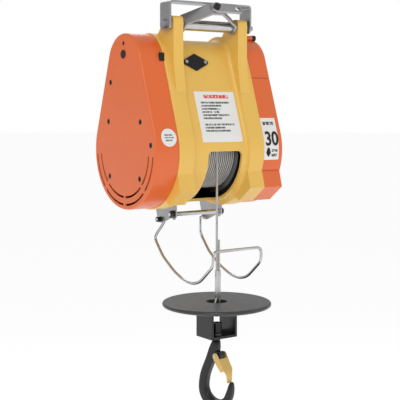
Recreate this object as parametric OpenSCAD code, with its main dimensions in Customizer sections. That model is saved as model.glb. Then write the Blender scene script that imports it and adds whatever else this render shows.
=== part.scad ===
// Suspended electric wire rope hoist. The drum axis runs along X.
// All modules are drawn from the drum axis, and hung() moves them so that the origin is the
// centre of the suspension hole, on top of the yoke.

/* [Castings] */
// Radius of both end covers around the drum
cover_r = 118.5; // [117:0.5:120]
// Radius of both end covers around the motor
cover_top_r = 62; // [61:0.5:63]
// Height of the motor axis above the drum axis
motor_z = 175; // [175:1:175]
// Half of the width over the two yellow flanges
flange_out = 106; // [104:1:108]
// Radius of the centre shell around the drum
shell_r = 110; // [109:0.5:111]

/* [Suspension] */
// Diameter of the cross tube
tube_d = 22; // [20:1:24]
// Width of the suspension strap
strap_w = 35; // [30:1:36]
// Diameter of the suspension hole
hang_d = 13; // [10:1:14]

/* [Rope] */
// Diameter of the wire rope
rope_d = 5; // [4.5:0.1:5]
// Height of the free rope, from the drum to the ferrule
fall_h = 249; // [249:1:249]

/* [Stop disc and hook] */
// Diameter of the stop disc
disc_d = 228; // [200:1:228]
// Thickness of the hook forging
hook_t = 20; // [16:1:20]

/* [Hidden] */
$fn = 64;

eps = 0.01;
tube_y = -62;                     // the cross tube, forward of the drum axis
tube_z = 254;
strap_t = 4;
hang_z = 300;                     // top of the suspension strap
leg_in = 98;                      // inner face of the strap's legs
ear_in = 68.5;
ear_out = 92;
rope_x = 14;                      // the rope, drum window and limit bail share this centre
rope_y = -79;
wound_r = -rope_y;                // centre of the rope on the drum
core_r = 62;
wraps = 18;
wall_in = 62;                     // inner face of the left bearing wall
wall_in_r = 65.5;
room_in = 74;                     // where the gear room and the control room start
cover_l = -161;
cover_r_x = 157;
skin = 3.5;
shell_top_r = 53;
shaft_r = 10;
run = 0.05;                       // radial running clearance
gear_a = 2.5;                     // module of the drum gear pair
gear_b = 1.5;                     // module of the motor pinion pair
drum_teeth = 68;
pinion_a = 12;
idler_teeth = 88;
pinion_b = 12;
idler_z = gear_a * (drum_teeth + pinion_a) / 2;
disc_z = -314;
frame_top = -323;
frame_low = -388;
frame_x = 32.5;
frame_y = 27.5;
pin_z = -334;
hook_turn = -75;                  // the hook's plane about the vertical
bowl_z = -500;
parting_z = 151;
gland_y = -20;
gland_z = 238;
gland_x = 148;
latch_u = 8;
latch_z = -428;
lift_r = 3;                       // radius of the limit bail's wire
bail_tilt = 44;

yellow = "#E8B548";
orange = "#E8682C";

function arc(c, r, a0, a1, n) =
    [for (i = [0 : n]) c + r * [cos(a0 + (a1 - a0) * i / n), sin(a0 + (a1 - a0) * i / n)]];

module hung() translate([0, -tube_y, -hang_z]) children();

// A flat outline in Y and Z, drawn thick from x0 to x1
module slab(x0, x1) translate([x0, 0, 0]) rotate([90, 0, 90]) linear_extrude(x1 - x0) children();

module rod(x0, x1, r, y = 0, z = 0)
    translate([x0, y, z]) rotate([0, 90, 0]) cylinder(r = r, h = x1 - x0);

module ring(x0, x1, r, bore, y = 0, z = 0) difference() {
    rod(x0, x1, r, y, z);
    rod(x0 - 1, x1 + 1, bore, y, z);
}

// Two circles, the drum's and the motor's, joined by their tangents
module teardrop(big, small) {
    s = (big - small) / motor_z;
    c = sqrt(1 - s * s);
    circle(big, $fn = 128);
    translate([0, motor_z]) circle(small, $fn = 96);
    polygon([[big * c, big * s], [small * c, motor_z + small * s],
        [-small * c, motor_z + small * s], [-big * c, big * s]]);
}

// The square foot that both flanges carry at the front and the back
module foot_outline() for (m = [0, 1]) mirror([m, 0])
    polygon([[-90, -40], [-113, -44], [-122, -77], [-82, -107], [-60, -90]]);

module flange_outline(grow = 0) {
    teardrop(cover_r + grow, cover_top_r + grow);
    foot_outline();
}

module ear_outline() polygon(concat([[0, 190], [-78, 150]],
    arc([-70, 262], 8, 180, 90, 6), arc([-50, 262], 8, 90, 35, 4), [[-22, 238], [0, 226]]));

function unit(v) = v / norm(v);
function tangent(p, i) = unit(p[min(i + 1, len(p) - 1)] - p[max(i - 1, 0)]);
function side_vectors(p, n, i = 0) = i == len(p) ? [] :
    let (t = tangent(p, i), m = unit(n - (n * t) * t)) concat([m], side_vectors(p, m, i + 1));
// A path whose inner corners are turned on short curves that start q before each corner
function rounded(p, q) = concat([p[0]], [for (i = [1 : len(p) - 2])
    let (a = p[i] + min(q, norm(p[i - 1] - p[i]) / 2) * unit(p[i - 1] - p[i]),
        b = p[i] + min(q, norm(p[i + 1] - p[i]) / 2) * unit(p[i + 1] - p[i]))
    for (t = [0.1, 0.5, 0.9]) (1 - t) * (1 - t) * a + 2 * t * (1 - t) * p[i] + t * t * b],
    [p[len(p) - 1]]);

// A round wire swept along a path; n is any direction across its first stretch
module swept(p, r, n, sides = 12) {
    m = side_vectors(p, n);
    last = len(p) - 1;
    polyhedron(points = [for (i = [0 : last]) let (b = cross(tangent(p, i), m[i]))
            for (k = [0 : sides - 1]) p[i] + r * (cos(k * 360 / sides) * m[i] + sin(k * 360 / sides) * b)],
        faces = concat([[for (k = [0 : sides - 1]) k], [for (k = [sides - 1 : -1 : 0]) last * sides + k]],
            [for (i = [0 : last - 1]) for (k = [0 : sides - 1]) [i * sides + k, (i + 1) * sides + k,
                (i + 1) * sides + (k + 1) % sides, i * sides + (k + 1) % sides]]));
}

function gear_outline(teeth, m, phase) = let (p = m * teeth / 2, step = 360 / teeth)
    [for (i = [0 : teeth - 1]) for (k = [[-0.34, -1.15], [-0.215, 0], [-0.1, 0.8],
        [0.1, 0.8], [0.215, 0], [0.34, -1.15]])
        let (a = phase + (i + k[0]) * step, r = p + k[1] * m) [r * cos(a), r * sin(a)]];

module gear(x0, x1, teeth, m, phase, z = 0)
    translate([0, 0, z]) slab(x0, x1) polygon(gear_outline(teeth, m, phase));

module housing() color(yellow) difference() {
    union() {
        slab(-ear_in, ear_in) teardrop(shell_r, shell_top_r);
        for (s = [0, 1]) mirror([s, 0, 0]) {
            slab(ear_in, flange_out) flange_outline(2.5);
            slab(ear_in, ear_out) ear_outline();
            for (i = [1 : 4])
                slab(ear_in - 2.5 * i, ear_in + eps) teardrop(shell_r + 8 - 2 * i + 1, shell_top_r + 9 - 2 * i);
        }
    }
    rod(-wall_in, wall_in_r, 104);
    rod(-wall_in, wall_in_r, 47, 0, motor_z);
    slab(-flange_out - 1, -room_in) teardrop(cover_r - 4, cover_top_r - 4);
    slab(room_in, flange_out + 1) teardrop(cover_r - 4, cover_top_r - 4);
    for (z = [0, motor_z]) {
        rod(-room_in - 1, -wall_in + 1, z == 0 ? 21 : 13, 0, z);
        rod(wall_in_r - 1, room_in + 1, z == 0 ? 21 : 13, 0, z);
    }
    rod(-room_in - 1, -wall_in + 5, 6, 0, idler_z);
    translate([rope_x - 42.5, -140, -140]) cube([85, 136, 140]);
    rod(-ear_out - 1, ear_out + 1, tube_d / 2, tube_y, tube_z);
    for (s = [-1, 1]) translate([-24, s * 40, motor_z]) rotate([s * 90, 0, 0])
        translate([0, 0, -10]) cylinder(r = 8, h = 40);
}

// One row of vent slots in the lower half of the gearbox cover
module vent_row(r, w) for (a = [184, 228, 272, 316])
    translate([cover_l - 1, 0, 0]) rotate([90, 0, 90]) rotate([0, 0, a])
        rotate_extrude(angle = 40) translate([r - w / 2, 0]) square([w, 8]);

screw_spots = [[-58.5, -52.8], [58.5, -52.8], [-62, 60], [62, 60], [-100, 15], [52, 140]];

module gearbox_cover() color(orange) difference() {
    union() {
        slab(cover_l + 4, -flange_out) teardrop(cover_r, cover_top_r);
        slab(cover_l + 1.5, cover_l + 4) teardrop(cover_r - 0.8, cover_top_r - 0.8);
        slab(cover_l, cover_l + 1.5) teardrop(cover_r - 2.5, cover_top_r - 2.5);
    }
    difference() {
        slab(cover_l + skin, -flange_out + 1) teardrop(cover_r - skin, cover_top_r - skin);
        rod(cover_l, -136, 18);
        rod(cover_l, -136, 12, 0, idler_z);
        for (p = screw_spots) rod(cover_l, cover_l + 12, 8, p[0], p[1]);
    }
    rod(cover_l + 10, -135, shaft_r + 0.4);
    rod(cover_l + 10, -135, 6, 0, idler_z);
    for (p = screw_spots) rod(cover_l - 1, cover_l + 9, 5, p[0], p[1]);
    rod(cover_l - 1, cover_l + 10, 7, 0, 195);
    rod(cover_l - 1, cover_l + 10, 2.5, 0, 216.6);
    vent_row(108, 3.5);
    vent_row(92.5, 3.5);
}

module right_shell() difference() {
    union() {
        slab(flange_out, cover_r_x - 4) flange_outline();
        slab(cover_r_x - 4, cover_r_x) teardrop(cover_r - 1.5, cover_top_r - 1.5);
    }
    slab(flange_out - 1, cover_r_x - skin) teardrop(cover_r - skin, cover_top_r - skin);
}

module control_cover() color(orange) difference() {
    right_shell();
    translate([0, -200, parting_z]) cube(400);
    for (p = screw_spots) if (p[1] < 100) rod(cover_r_x - 6, cover_r_x + 1, 4, p[0], p[1]);
}

module motor_end_cover() color(orange) difference() {
    union() {
        right_shell();
        rod(flange_out, gland_x, 5.6, gland_y, gland_z);
    }
    rod(gland_x, cover_r_x + 1, 6.25, gland_y, gland_z);
    translate([0, -200, parting_z + 0.3 - 400]) cube(400);
    for (a = [0 : 30 : 330])
        rod(cover_r_x - 8, cover_r_x + 1, 3, 26 * cos(a), motor_z + 5 + 26 * sin(a));
    rod(flange_out - 1, gland_x + 1, 3.5, gland_y, gland_z);
}

module inspection_plug() color("#2B2B2B") {
    rod(cover_l - 1.5, cover_l, 8.5, 0, 195);
    rod(cover_l, cover_l + 6, 6.9, 0, 195);
}

module cover_screws() color("#303234") {
    for (p = screw_spots) ring(cover_l + 5, cover_l + 9, 4.9, 2, p[0], p[1]);
    for (p = screw_spots) if (p[1] < 100) rod(cover_r_x - 5, cover_r_x - 0.5, 3.9, p[0], p[1]);
}

module cover_clip() color("#1C1C1C") difference() {
    translate([-116, -66, 181]) cube([9.8, 5, 16]);
    slab(-120, -100) teardrop(cover_r, cover_top_r);
}

module round_label() color("#F2F1EE") intersection() {
    plate_skin(-148, -108, cover_r, cover_top_r, 5, 55, 0.5);
    translate([-128, -140, 30]) rotate([-90, 0, 0]) cylinder(r = 17.5, h = 60);
}

// A thin skin that lies on a casting between two heights
module plate_skin(x0, x1, big, small, z0, z1, t) intersection() {
    difference() {
        slab(x0, x1) teardrop(big + t, small + t);
        slab(x0 - 1, x1 + 1) teardrop(big, small);
    }
    translate([x0 - 2, -200, z0]) cube([x1 - x0 + 4, 190, z1 - z0]);
}
module rating_plate() color("#F2F1EE") plate_skin(-42, 58, shell_r, shell_top_r, 19, 121, 0.5);

module height_label() color("#F2F1EE") plate_skin(flange_out + 1, 146, cover_r, cover_top_r, -20, 67, 0.5);

// Both brush covers lie on the sloping flanks of the shell
flank = asin((shell_r - shell_top_r) / motor_z);
module on_flank(s) translate([-24, s * 54.38, motor_z + 5]) rotate([s * (flank - 90), 0, 0]) children();
module brush_covers() color("#1E1F21") for (s = [-1, 1]) on_flank(s) linear_extrude(3)
    polygon([for (a = [0 : 3]) for (k = arc([a % 2 == 0 ? 26 * (1 - a) : 0,
        a % 2 == 1 ? 13 * (2 - a) : 0], 5, a * 90 - 40, a * 90 + 40, 4)) k]);

module brush_cover_screws() color("#D8D9DA")
    for (s = [-1, 1]) for (x = [-23, 23]) on_flank(s) translate([x, 0, 3]) cylinder(r = 3.6, h = 2);

module cable_gland() color("#202020") ring(gland_x, gland_x + 9, 6.2, 3.2, gland_y, gland_z);

module cross_tube() color("#D6D7D9") ring(-ear_out, ear_out, tube_d / 2, 7, tube_y, tube_z);

module suspension_yoke() color("#9C9D9F") difference() {
    intersection() {
        translate([0, tube_y + strap_w / 2, 0]) rotate([90, 0, 0]) linear_extrude(strap_w) difference() {
            union() {
                translate([-leg_in - strap_t, 200]) square([2 * leg_in + 2 * strap_t, hang_z - 208]);
                translate([-leg_in - strap_t + 8, hang_z - 9]) square([2 * leg_in + 2 * strap_t - 16, 9]);
                for (s = [-1, 1]) translate([s * (leg_in + strap_t - 8), hang_z - 8]) circle(8);
            }
            translate([-leg_in, 190]) square([2 * leg_in, hang_z - 198]);
            translate([-leg_in + 4, hang_z - 9]) square([2 * leg_in - 8, 5]);
            for (s = [-1, 1]) translate([s * (leg_in - 4), hang_z - 8]) circle(4);
        }
        slab(-120, 120) {
            translate([tube_y - strap_w / 2, 251]) square([strap_w, 60]);
            translate([tube_y - strap_w / 2 + 8, 242]) square([strap_w - 16, 20]);
            for (s = [-1, 1]) translate([tube_y + s * (strap_w / 2 - 9), 251]) circle(9);
        }
    }
    rod(-120, 120, 5.2, tube_y, tube_z);
    translate([0, tube_y, hang_z - 20]) cylinder(d = hang_d, h = 40);
}

module yoke_bolt() color("#3A3B3D") {
    rod(-leg_in - strap_t, 116, 5, tube_y, tube_z);
    translate([-leg_in - strap_t - 6.4, tube_y, tube_z]) rotate([0, 90, 0]) cylinder(r = 9.2, h = 6.4, $fn = 6);
}

module yoke_nut() color("#3A3B3D") difference() {
    translate([leg_in + strap_t, tube_y, tube_z]) rotate([0, 90, 0]) cylinder(r = 9.2, h = 8, $fn = 6);
    rod(90, 120, 5, tube_y, tube_z);
}

module yoke_spacers() color("#8B8C8E")
    for (s = [0, 1]) mirror([s, 0, 0]) ring(ear_out, leg_in, 10, 5.2, tube_y, tube_z);

// The inner bail, drawn upright about the tube and then leaned forward
module leaned() translate([0, tube_y, tube_z]) rotate([bail_tilt, 0, 0]) children();
module safety_bail() color("#A9AAAC") leaned() difference() {
    union() {
        rotate([90, 0, 0]) translate([0, 0, -14]) linear_extrude(28) polygon([[-64, 8], [-60, 8],
            [-60, 11], [-11, 40], [11, 40], [60, 11], [60, 8], [64, 8], [64, 13], [12, 45], [-12, 45], [-64, 13]]);
        for (s = [0, 1]) mirror([s, 0, 0]) ring(60, 64, 15, tube_d / 2 + run);
    }
    cylinder(r = 4.1, h = 60);
    rod(-70, 70, tube_d / 2 + run);
}
module bail_bolt() color("#242527") leaned() {
    translate([0, 0, 34]) cylinder(r = 4.05, h = 24);
    translate([0, 0, 34]) cylinder(r = 7.5, h = 6, $fn = 6);
    translate([0, 0, 50.3]) cylinder(r = 7.5, h = 6, $fn = 6);
}
module eye_plate() color("#B4B5B7") leaned() translate([0, 0, 45.2]) difference() {
    union() {
        translate([0, -13, 0]) cube([52, 26, 5]);
        cylinder(r = 13, h = 5);
        translate([52, 0, 0]) cylinder(r = 13, h = 5);
    }
    translate([0, 0, -1]) cylinder(r = 4.15, h = 8);
    translate([52, 0, -1]) cylinder(r = 7, h = 8);
}

module stator() color("#7A5230") ring(-44, 30, 46.8, 27, 0, motor_z);
module rotor() color("#8D8E90") {
    rod(-96, 96, 5, 0, motor_z);
    ring(-42, 26, 25.5, 5, 0, motor_z);
    gear(-96, -80, pinion_b, gear_b, -90, motor_z);
}
module commutator() color("#B87333") ring(30, 46, 14, 5, 0, motor_z);
module cooling_fan() color("#2A2A2A") {
    ring(86, 96, 9, 5, 0, motor_z);
    for (a = [0 : 30 : 330]) translate([86, 0, motor_z]) rotate([a, 0, 0])
        translate([0, -1, 8.5]) cube([10, 2, 34]);
}
module motor_bearings() color("#C9CACC") for (x = [-room_in, wall_in_r])
    ring(x, x < 0 ? -wall_in : room_in, 13, 5 + run, 0, motor_z);
module carbon_brushes() color("#2E2E30") for (s = [-1, 1])
    translate([34, s > 0 ? 14.3 : -30.3, motor_z - 4]) cube([8, 16, 8]);
module brush_holders() color("#B99A4A") for (s = [-1, 1])
    translate([31, s > 0 ? 30.4 : -44.4, motor_z - 7]) cube([14, 14, 14]);

module idler_shaft() color("#A0A1A3") rod(-149, -wall_in + 3, 6, 0, idler_z);
module idler_gear() color("#8A8B8D") difference() {
    union() {
        gear(-96, -82, idler_teeth, gear_b, 90 + 180 / idler_teeth, idler_z);
        gear(-122, -96, pinion_a, gear_a, -90, idler_z);
    }
    rod(-130, -70, 6 + run, 0, idler_z);
}
module drum_gear() color("#8A8B8D") difference() {
    gear(-119, -99, drum_teeth, gear_a, 90 + 180 / drum_teeth);
    rod(-130, -80, shaft_r);
    for (a = [30 : 60 : 330]) rod(-130, -80, 16, 50 * cos(a), 50 * sin(a));
}
module drum() color("#6D6F72") difference() {
    union() {
        rod(rope_x - 48, rope_x + 48, core_r);
        ring(rope_x - 48, rope_x - 45, 92, core_r);
        ring(rope_x + 45, rope_x + 48, 92, core_r);
        rod(-60, rope_x - 47, 24);
    }
    rod(-100, 100, shaft_r);
    ring(rope_x - 42, rope_x + 49, core_r - 5, 20);
}
module drum_shaft() color("#A0A1A3") rod(-148, 84, shaft_r);
module drum_bearings() color("#C9CACC") for (x = [-room_in, wall_in_r])
    ring(x, x < 0 ? -wall_in : room_in, 21, shaft_r + run);
module wound_rope() color("#A8A9AA") difference() {
    translate([rope_x - 45, 0, 0]) rotate([0, 90, 0]) rotate_extrude($fn = 96) {
        translate([core_r, 0]) square([wound_r - core_r, wraps * rope_d]);
        for (i = [0 : wraps - 1]) translate([wound_r, (i + 0.5) * rope_d]) circle(rope_d / 2, $fn = 24);
    }
    translate([rope_x, rope_y, -fall_h]) cylinder(d = rope_d + 0.1, h = fall_h + 0.01);
}
module rope_fall() color("#A8A9AA") translate([rope_x, rope_y, -fall_h]) cylinder(d = rope_d, h = fall_h);

// Triangular bracket under a flange; it carries the guide rod and the limit bail
module bracket(x0, top_r) difference() {
    slab(x0, x0 + 3) polygon([[-16, -60], [-16, -138], [-8, -146], [2, -142], [36, -156],
        [52, -156], [66, -112], [66, -60]]);
    rod(x0 - 1, x0 + 4, top_r);
    rod(x0 - 1, x0 + 4, 4, -6, -134);
    rod(x0 - 1, x0 + 4, lift_r + run, 45, -149);
}
module left_bracket() color("#9B9C9E") bracket(rope_x - 60, shell_r);
module right_bracket() color("#9B9C9E") bracket(rope_x + 57, cover_r + 2.5);
module guide_rod() color("#D6D7D9") {
    rod(rope_x - 57, rope_x + 57, 5, -6, -134);
    rod(rope_x - 70, rope_x + 70, 4, -6, -134);
}
module rod_nuts() color("#232426") for (s = [-1, 1])
    difference() {
        translate([rope_x + (s < 0 ? -67 : 60), -6, -134]) rotate([0, 90, 0]) cylinder(r = 8, h = 7, $fn = 6);
        rod(-100, 100, 4, -6, -134);
    }

function bail_side(s) = [for (p = [[68, 45, -149], [47, 45, -149], [48, 48, -158], [61, 66, -190],
    [61, 33, -227], [61, -10, -254], [61, -46, -268], [61, -79, -271], [61, -104, -264],
    [61, -150, -226], [61, -150, -197]]) [rope_x + s * p[0], p[1], p[2]]];
module limit_bail() color("#C9CACC") swept(rounded(concat(bail_side(-1),
    [for (i = [10 : -1 : 0]) bail_side(1)[i]]), 9), lift_r, [0, 0, 1]);
module bail_end_caps() color("#242527") for (s = [0, 1]) translate([rope_x, 0, 0]) mirror([s, 0, 0])
    difference() {
        rod(60.4, 68, 5.5, 45, -149);
        rod(60, 69.5, lift_r - 0.01, 45, -149);
    }

module limit_switch() color("#2B2D30") translate([76, 20, -96]) cube([24, 30, 40]);
module terminal_block() color("#D8D4C4") translate([100, -40, 20]) cube([30, 80, 24]);

module ferrule() color("#D0D1D3") for (s = [-1, 1]) difference() {
    translate([rope_x + 2.7 + s * 2.7, rope_y, -fall_h - 57]) cylinder(r = 4.2, h = 57);
    translate([rope_x + 2.7 + s * 2.7, rope_y, -fall_h - 58]) cylinder(d = rope_d, h = 59);
    translate([rope_x + 2.7 + (s < 0 ? 0 : -20), rope_y - 10, -fall_h - 58]) cube([20, 20, 60]);
}
loop_r = 10.3;
module rope_loop() color("#A8A9AA") {
    x0 = rope_x + 2.7;
    low = -fall_h - 57;
    swept(concat([[x0 - 2.7, rope_y, -fall_h], [x0 - 2.7, rope_y, low]],
        [for (a = [190 : 20 : 350]) [rope_x + loop_r * cos(a), rope_y, pin_z + loop_r * sin(a)]],
        [[x0 + 2.7, rope_y, low], [x0 + 2.7, rope_y, -fall_h + 64]]), rope_d / 2 - 0.02, [0, 1, 0]);
}
module thimble() color("#C9CACC") translate([rope_x, rope_y, pin_z]) rotate([90, 0, 0]) difference() {
    translate([0, 0, -3]) cylinder(r = 7.7, h = 6);
    translate([0, 0, -4]) cylinder(r = 4, h = 8);
}
module stop_disc() color("#55565A") translate([rope_x, rope_y, disc_z - 9]) difference() {
    rotate_extrude($fn = 128) {
        translate([22, 0]) square([disc_d / 2 - 26.5, 9]);
        translate([disc_d / 2 - 4.5, 4.5]) circle(4.5, $fn = 32);
    }
    for (a = [45 : 90 : 315]) rotate([0, 0, a]) translate([28, 0, -1]) cylinder(r = 2, h = 4);
}
module hook_frame() color("#2A2B2D") translate([rope_x, rope_y, 0]) difference() {
    union() {
        difference() {
            translate([-frame_x, -frame_y, frame_low]) cube([2 * frame_x, 2 * frame_y, frame_top - frame_low]);
            translate([-frame_x + 5, -frame_y - 1, frame_low + 5])
                cube([2 * frame_x - 10, 2 * frame_y + 2, frame_top - frame_low - 10]);
        }
        for (s = [-1, 1]) translate([-8, s * 10 - 2.5, pin_z - 8]) cube([16, 5, 14.5]);
    }
    translate([-17, -6.5, frame_top - 6]) cube([34, 13, 8]);
    translate([0, 20, pin_z]) rotate([90, 0, 0]) cylinder(r = 4, h = 40);
    translate([0, 0, frame_low - 1]) cylinder(r = 8 + run, h = 7);
}
module thimble_pin() color("#7D7E80") translate([rope_x, rope_y + 14, pin_z]) rotate([90, 0, 0])
    cylinder(r = 4, h = 28);

module at_hook() translate([rope_x, rope_y, 0]) rotate([0, 0, hook_turn]) children();
module swivel_nut() color("#1D1E20") at_hook() difference() {
    translate([0, 0, -381]) cylinder(r = 11.5, h = 22, $fn = 6);
    translate([0, 0, -390]) cylinder(r = 6.5, h = 40);
}
module thrust_washer() color("#8B8C8E") at_hook() translate([0, 0, -382.7]) difference() {
    cylinder(r = 13, h = 1.6);
    translate([0, 0, -1]) cylinder(r = 8.2, h = 4);
}
hook_line = concat([[-8, -394], [-12, -404], [-23, -424], [-35, -448], [-42, -470]],
    arc([0, bowl_z], 45, 170, 370, 30), [[45, -486]], arc([40.5, -482], 5, 0, 180, 6),
    arc([2, bowl_z + 3], 27, 12, -180, 26), [[-23, -474], [-15, -452], [-3, -434], [2, -437], [14, -437],
    [15, -424], [9, -404], [8, -394]]);
module hook() color("#232426") at_hook() difference() {
    union() {
        translate([0, 0, frame_low - 6.5]) cylinder(r = 8, h = 12);
        translate([0, 0, frame_low - 6.5]) cylinder(r = 6.5, h = 34);
        rotate([90, 0, 0]) translate([0, 0, -hook_t / 2]) linear_extrude(hook_t) polygon(hook_line);
    }
    translate([latch_u, 20, latch_z]) rotate([90, 0, 0]) cylinder(r = 3, h = 40);
}
latch_len = 60;
module latch() color("#E2B94E") at_hook() translate([latch_u, 0, latch_z]) rotate([0, -30, 0])
    difference() {
        union() {
            for (s = [-1, 1]) translate([-7, s * 14.3 - 0.8, -34]) cube([13, 1.6, 34]);
            for (s = [-1, 1]) translate([0, s * 14.3 - 0.8 + 1.6, 0]) rotate([90, 0, 0])
                cylinder(r = 7, h = 1.6);
            translate([-7, -15.1, -34]) cube([1.6, 30.2, 18]);
            translate([-7, -7, -latch_len]) cube([1.6, 14, latch_len - 33]);
        }
        translate([0, 20, 0]) rotate([90, 0, 0]) cylinder(r = 3 + run, h = 40);
    }
module latch_pin() color("#C9CACC") at_hook() translate([latch_u, 17, latch_z]) rotate([90, 0, 0])
    cylinder(r = 3, h = 34);
module latch_spring() color("#C9CACC") at_hook() translate([latch_u, 0, latch_z]) rotate([90, 0, 0])
    for (s = [-1, 1]) for (i = [0 : 1]) translate([0, 0, s * (11 + i * 1.1)])
        rotate_extrude() translate([4.3, 0]) circle(0.5, $fn = 16);

hung() housing();
hung() gearbox_cover();
hung() control_cover();
hung() motor_end_cover();
hung() inspection_plug();
hung() cover_screws();
hung() cover_clip();
hung() round_label();
hung() rating_plate();
hung() height_label();
hung() brush_covers();
hung() brush_cover_screws();
hung() cable_gland();
hung() cross_tube();
hung() suspension_yoke();
hung() yoke_bolt();
hung() yoke_nut();
hung() yoke_spacers();
hung() safety_bail();
hung() bail_bolt();
hung() eye_plate();
hung() stator();
hung() rotor();
hung() commutator();
hung() cooling_fan();
hung() motor_bearings();
hung() carbon_brushes();
hung() brush_holders();
hung() idler_shaft();
hung() idler_gear();
hung() drum_gear();
hung() drum();
hung() drum_shaft();
hung() drum_bearings();
hung() wound_rope();
hung() rope_fall();
hung() left_bracket();
hung() right_bracket();
hung() guide_rod();
hung() rod_nuts();
hung() limit_bail();
hung() bail_end_caps();
hung() limit_switch();
hung() terminal_block();
hung() ferrule();
hung() rope_loop();
hung() thimble();
hung() stop_disc();
hung() hook_frame();
hung() thimble_pin();
hung() swivel_nut();
hung() thrust_washer();
hung() hook();
hung() latch();
hung() latch_pin();
hung() latch_spring();
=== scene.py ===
# Electric wire rope hoist, hung from its yoke. Everything is in metres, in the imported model's frame.
import math
import random

import bmesh
import bpy
from mathutils import Matrix, Vector


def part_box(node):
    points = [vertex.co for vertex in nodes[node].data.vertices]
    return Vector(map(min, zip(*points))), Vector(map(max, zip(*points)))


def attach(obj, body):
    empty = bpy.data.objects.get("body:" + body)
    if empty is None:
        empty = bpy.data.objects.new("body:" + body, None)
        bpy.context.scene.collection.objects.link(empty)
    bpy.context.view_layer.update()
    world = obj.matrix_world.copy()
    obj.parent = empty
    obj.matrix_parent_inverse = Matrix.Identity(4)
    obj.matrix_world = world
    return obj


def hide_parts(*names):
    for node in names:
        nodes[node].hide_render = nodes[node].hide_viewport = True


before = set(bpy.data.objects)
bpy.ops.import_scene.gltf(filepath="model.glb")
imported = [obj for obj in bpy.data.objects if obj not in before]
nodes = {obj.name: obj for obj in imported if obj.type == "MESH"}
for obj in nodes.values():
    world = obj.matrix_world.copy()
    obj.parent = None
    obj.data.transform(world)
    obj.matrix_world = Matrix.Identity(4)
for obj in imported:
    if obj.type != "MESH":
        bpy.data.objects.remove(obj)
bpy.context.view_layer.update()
random.seed(7)
mm = 0.001


def boxCentre(name):
    low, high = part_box(name)
    return (Vector(low) + Vector(high)) / 2


def span(name, axis):
    low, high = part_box(name)
    return low[axis], high[axis]


drumAxis = boxCentre("drum_shaft")
motorAxis = boxCentre("stator")
ropeAt = boxCentre("rope_fall")
coverFace = span("gearbox_cover", 0)[0]
coverJoint = span("gearbox_cover", 0)[1]
flangeEnd = span("housing", 0)[1]
motorRise = motorAxis.z - drumAxis.z

camera = {"azimuth": 35.26, "pitch": 5.19, "distance": 2.0954, "lens": 88.4, "target": (0.0221, 0.0549, -0.4075)}
studio = {"floor": -1.55, "sky": 0.6, "ground": 0.2, "key": 21, "fill": 3, "rim": 8, "floorGlow": 0.45}


def makeCamera():
    data = bpy.data.cameras.new("camera")
    data.lens = camera["lens"]
    data.sensor_width = 36
    data.clip_end = 60
    obj = bpy.data.objects.new("camera", data)
    bpy.context.collection.objects.link(obj)
    a, p = math.radians(camera["azimuth"]), math.radians(camera["pitch"])
    look = Vector((math.sin(a) * math.cos(p), math.cos(a) * math.cos(p), -math.sin(p)))
    obj.location = Vector(camera["target"]) - look * camera["distance"]
    obj.rotation_euler = look.to_track_quat("-Z", "Y").to_euler()
    bpy.context.scene.camera = obj


def areaLight(name, place, size, watts, colour=(1, 1, 1)):
    data = bpy.data.lights.new(name, "AREA")
    data.size = size
    data.energy = watts
    data.color = colour
    obj = bpy.data.objects.new(name, data)
    bpy.context.collection.objects.link(obj)
    obj.location = place
    aim = Vector((0, 0.05, -0.4)) - Vector(place)
    obj.rotation_euler = aim.to_track_quat("-Z", "Y").to_euler()


def makeStudio():
    world = bpy.data.worlds.new("studio")
    bpy.context.scene.world = world
    world.use_nodes = True
    tree = world.node_tree
    back = tree.nodes["Background"]
    back.inputs["Color"].default_value = (1, 1, 1, 1)
    # what the camera sees is white, what lights the hoist fades from a bright top to a dim floor
    coord = tree.nodes.new("ShaderNodeTexCoord")
    split = tree.nodes.new("ShaderNodeSeparateXYZ")
    fade = tree.nodes.new("ShaderNodeMapRange")
    seen = tree.nodes.new("ShaderNodeLightPath")
    pick = tree.nodes.new("ShaderNodeMapRange")
    fade.inputs["From Min"].default_value = -0.5
    fade.inputs["From Max"].default_value = 0.6
    fade.inputs["To Min"].default_value = studio["ground"]
    fade.inputs["To Max"].default_value = studio["sky"]
    tree.links.new(coord.outputs["Generated"], split.inputs[0])
    tree.links.new(split.outputs[2], fade.inputs["Value"])
    tree.links.new(seen.outputs["Is Camera Ray"], pick.inputs["Value"])
    tree.links.new(fade.outputs[0], pick.inputs["To Min"])
    tree.links.new(pick.outputs[0], back.inputs["Strength"])
    areaLight("keyLight", (-1.7, -1.9, 1.2), 1.3, studio["key"])
    areaLight("fillLight", (1.9, -1.6, 0.1), 1.6, studio["fill"])
    areaLight("rimLight", (0.6, 1.9, 1.1), 1.2, studio["rim"])
    bpy.ops.mesh.primitive_plane_add(size=400, location=(0, 0, studio["floor"]))
    floor = bpy.context.object
    floor.name = "floor"
    mat = bpy.data.materials.new("paleFloor")
    mat.use_nodes = True
    shader = mat.node_tree.nodes["Principled BSDF"]
    shader.inputs["Base Color"].default_value = (0.9, 0.9, 0.9, 1)
    shader.inputs["Roughness"].default_value = 0.9
    shader.inputs["Emission Color"].default_value = (1, 1, 1, 1)
    shader.inputs["Emission Strength"].default_value = studio["floorGlow"]
    floor.data.materials.append(mat)
    bpy.context.scene.view_settings.view_transform = "Standard"


makeCamera()
makeStudio()
print("camera and studio ready")


# shader groups that several finishes share

def newGroup(name, ins, outs):
    tree = bpy.data.node_groups.new(name, "ShaderNodeTree")
    for label, kind, value in ins:
        socket = tree.interface.new_socket(label, in_out="INPUT", socket_type=kind)
        socket.default_value = value
    for label, kind in outs:
        tree.interface.new_socket(label, in_out="OUTPUT", socket_type=kind)
    return tree, tree.nodes.new("NodeGroupInput"), tree.nodes.new("NodeGroupOutput")


def link(tree, a, b):
    tree.links.new(a, b)


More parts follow.
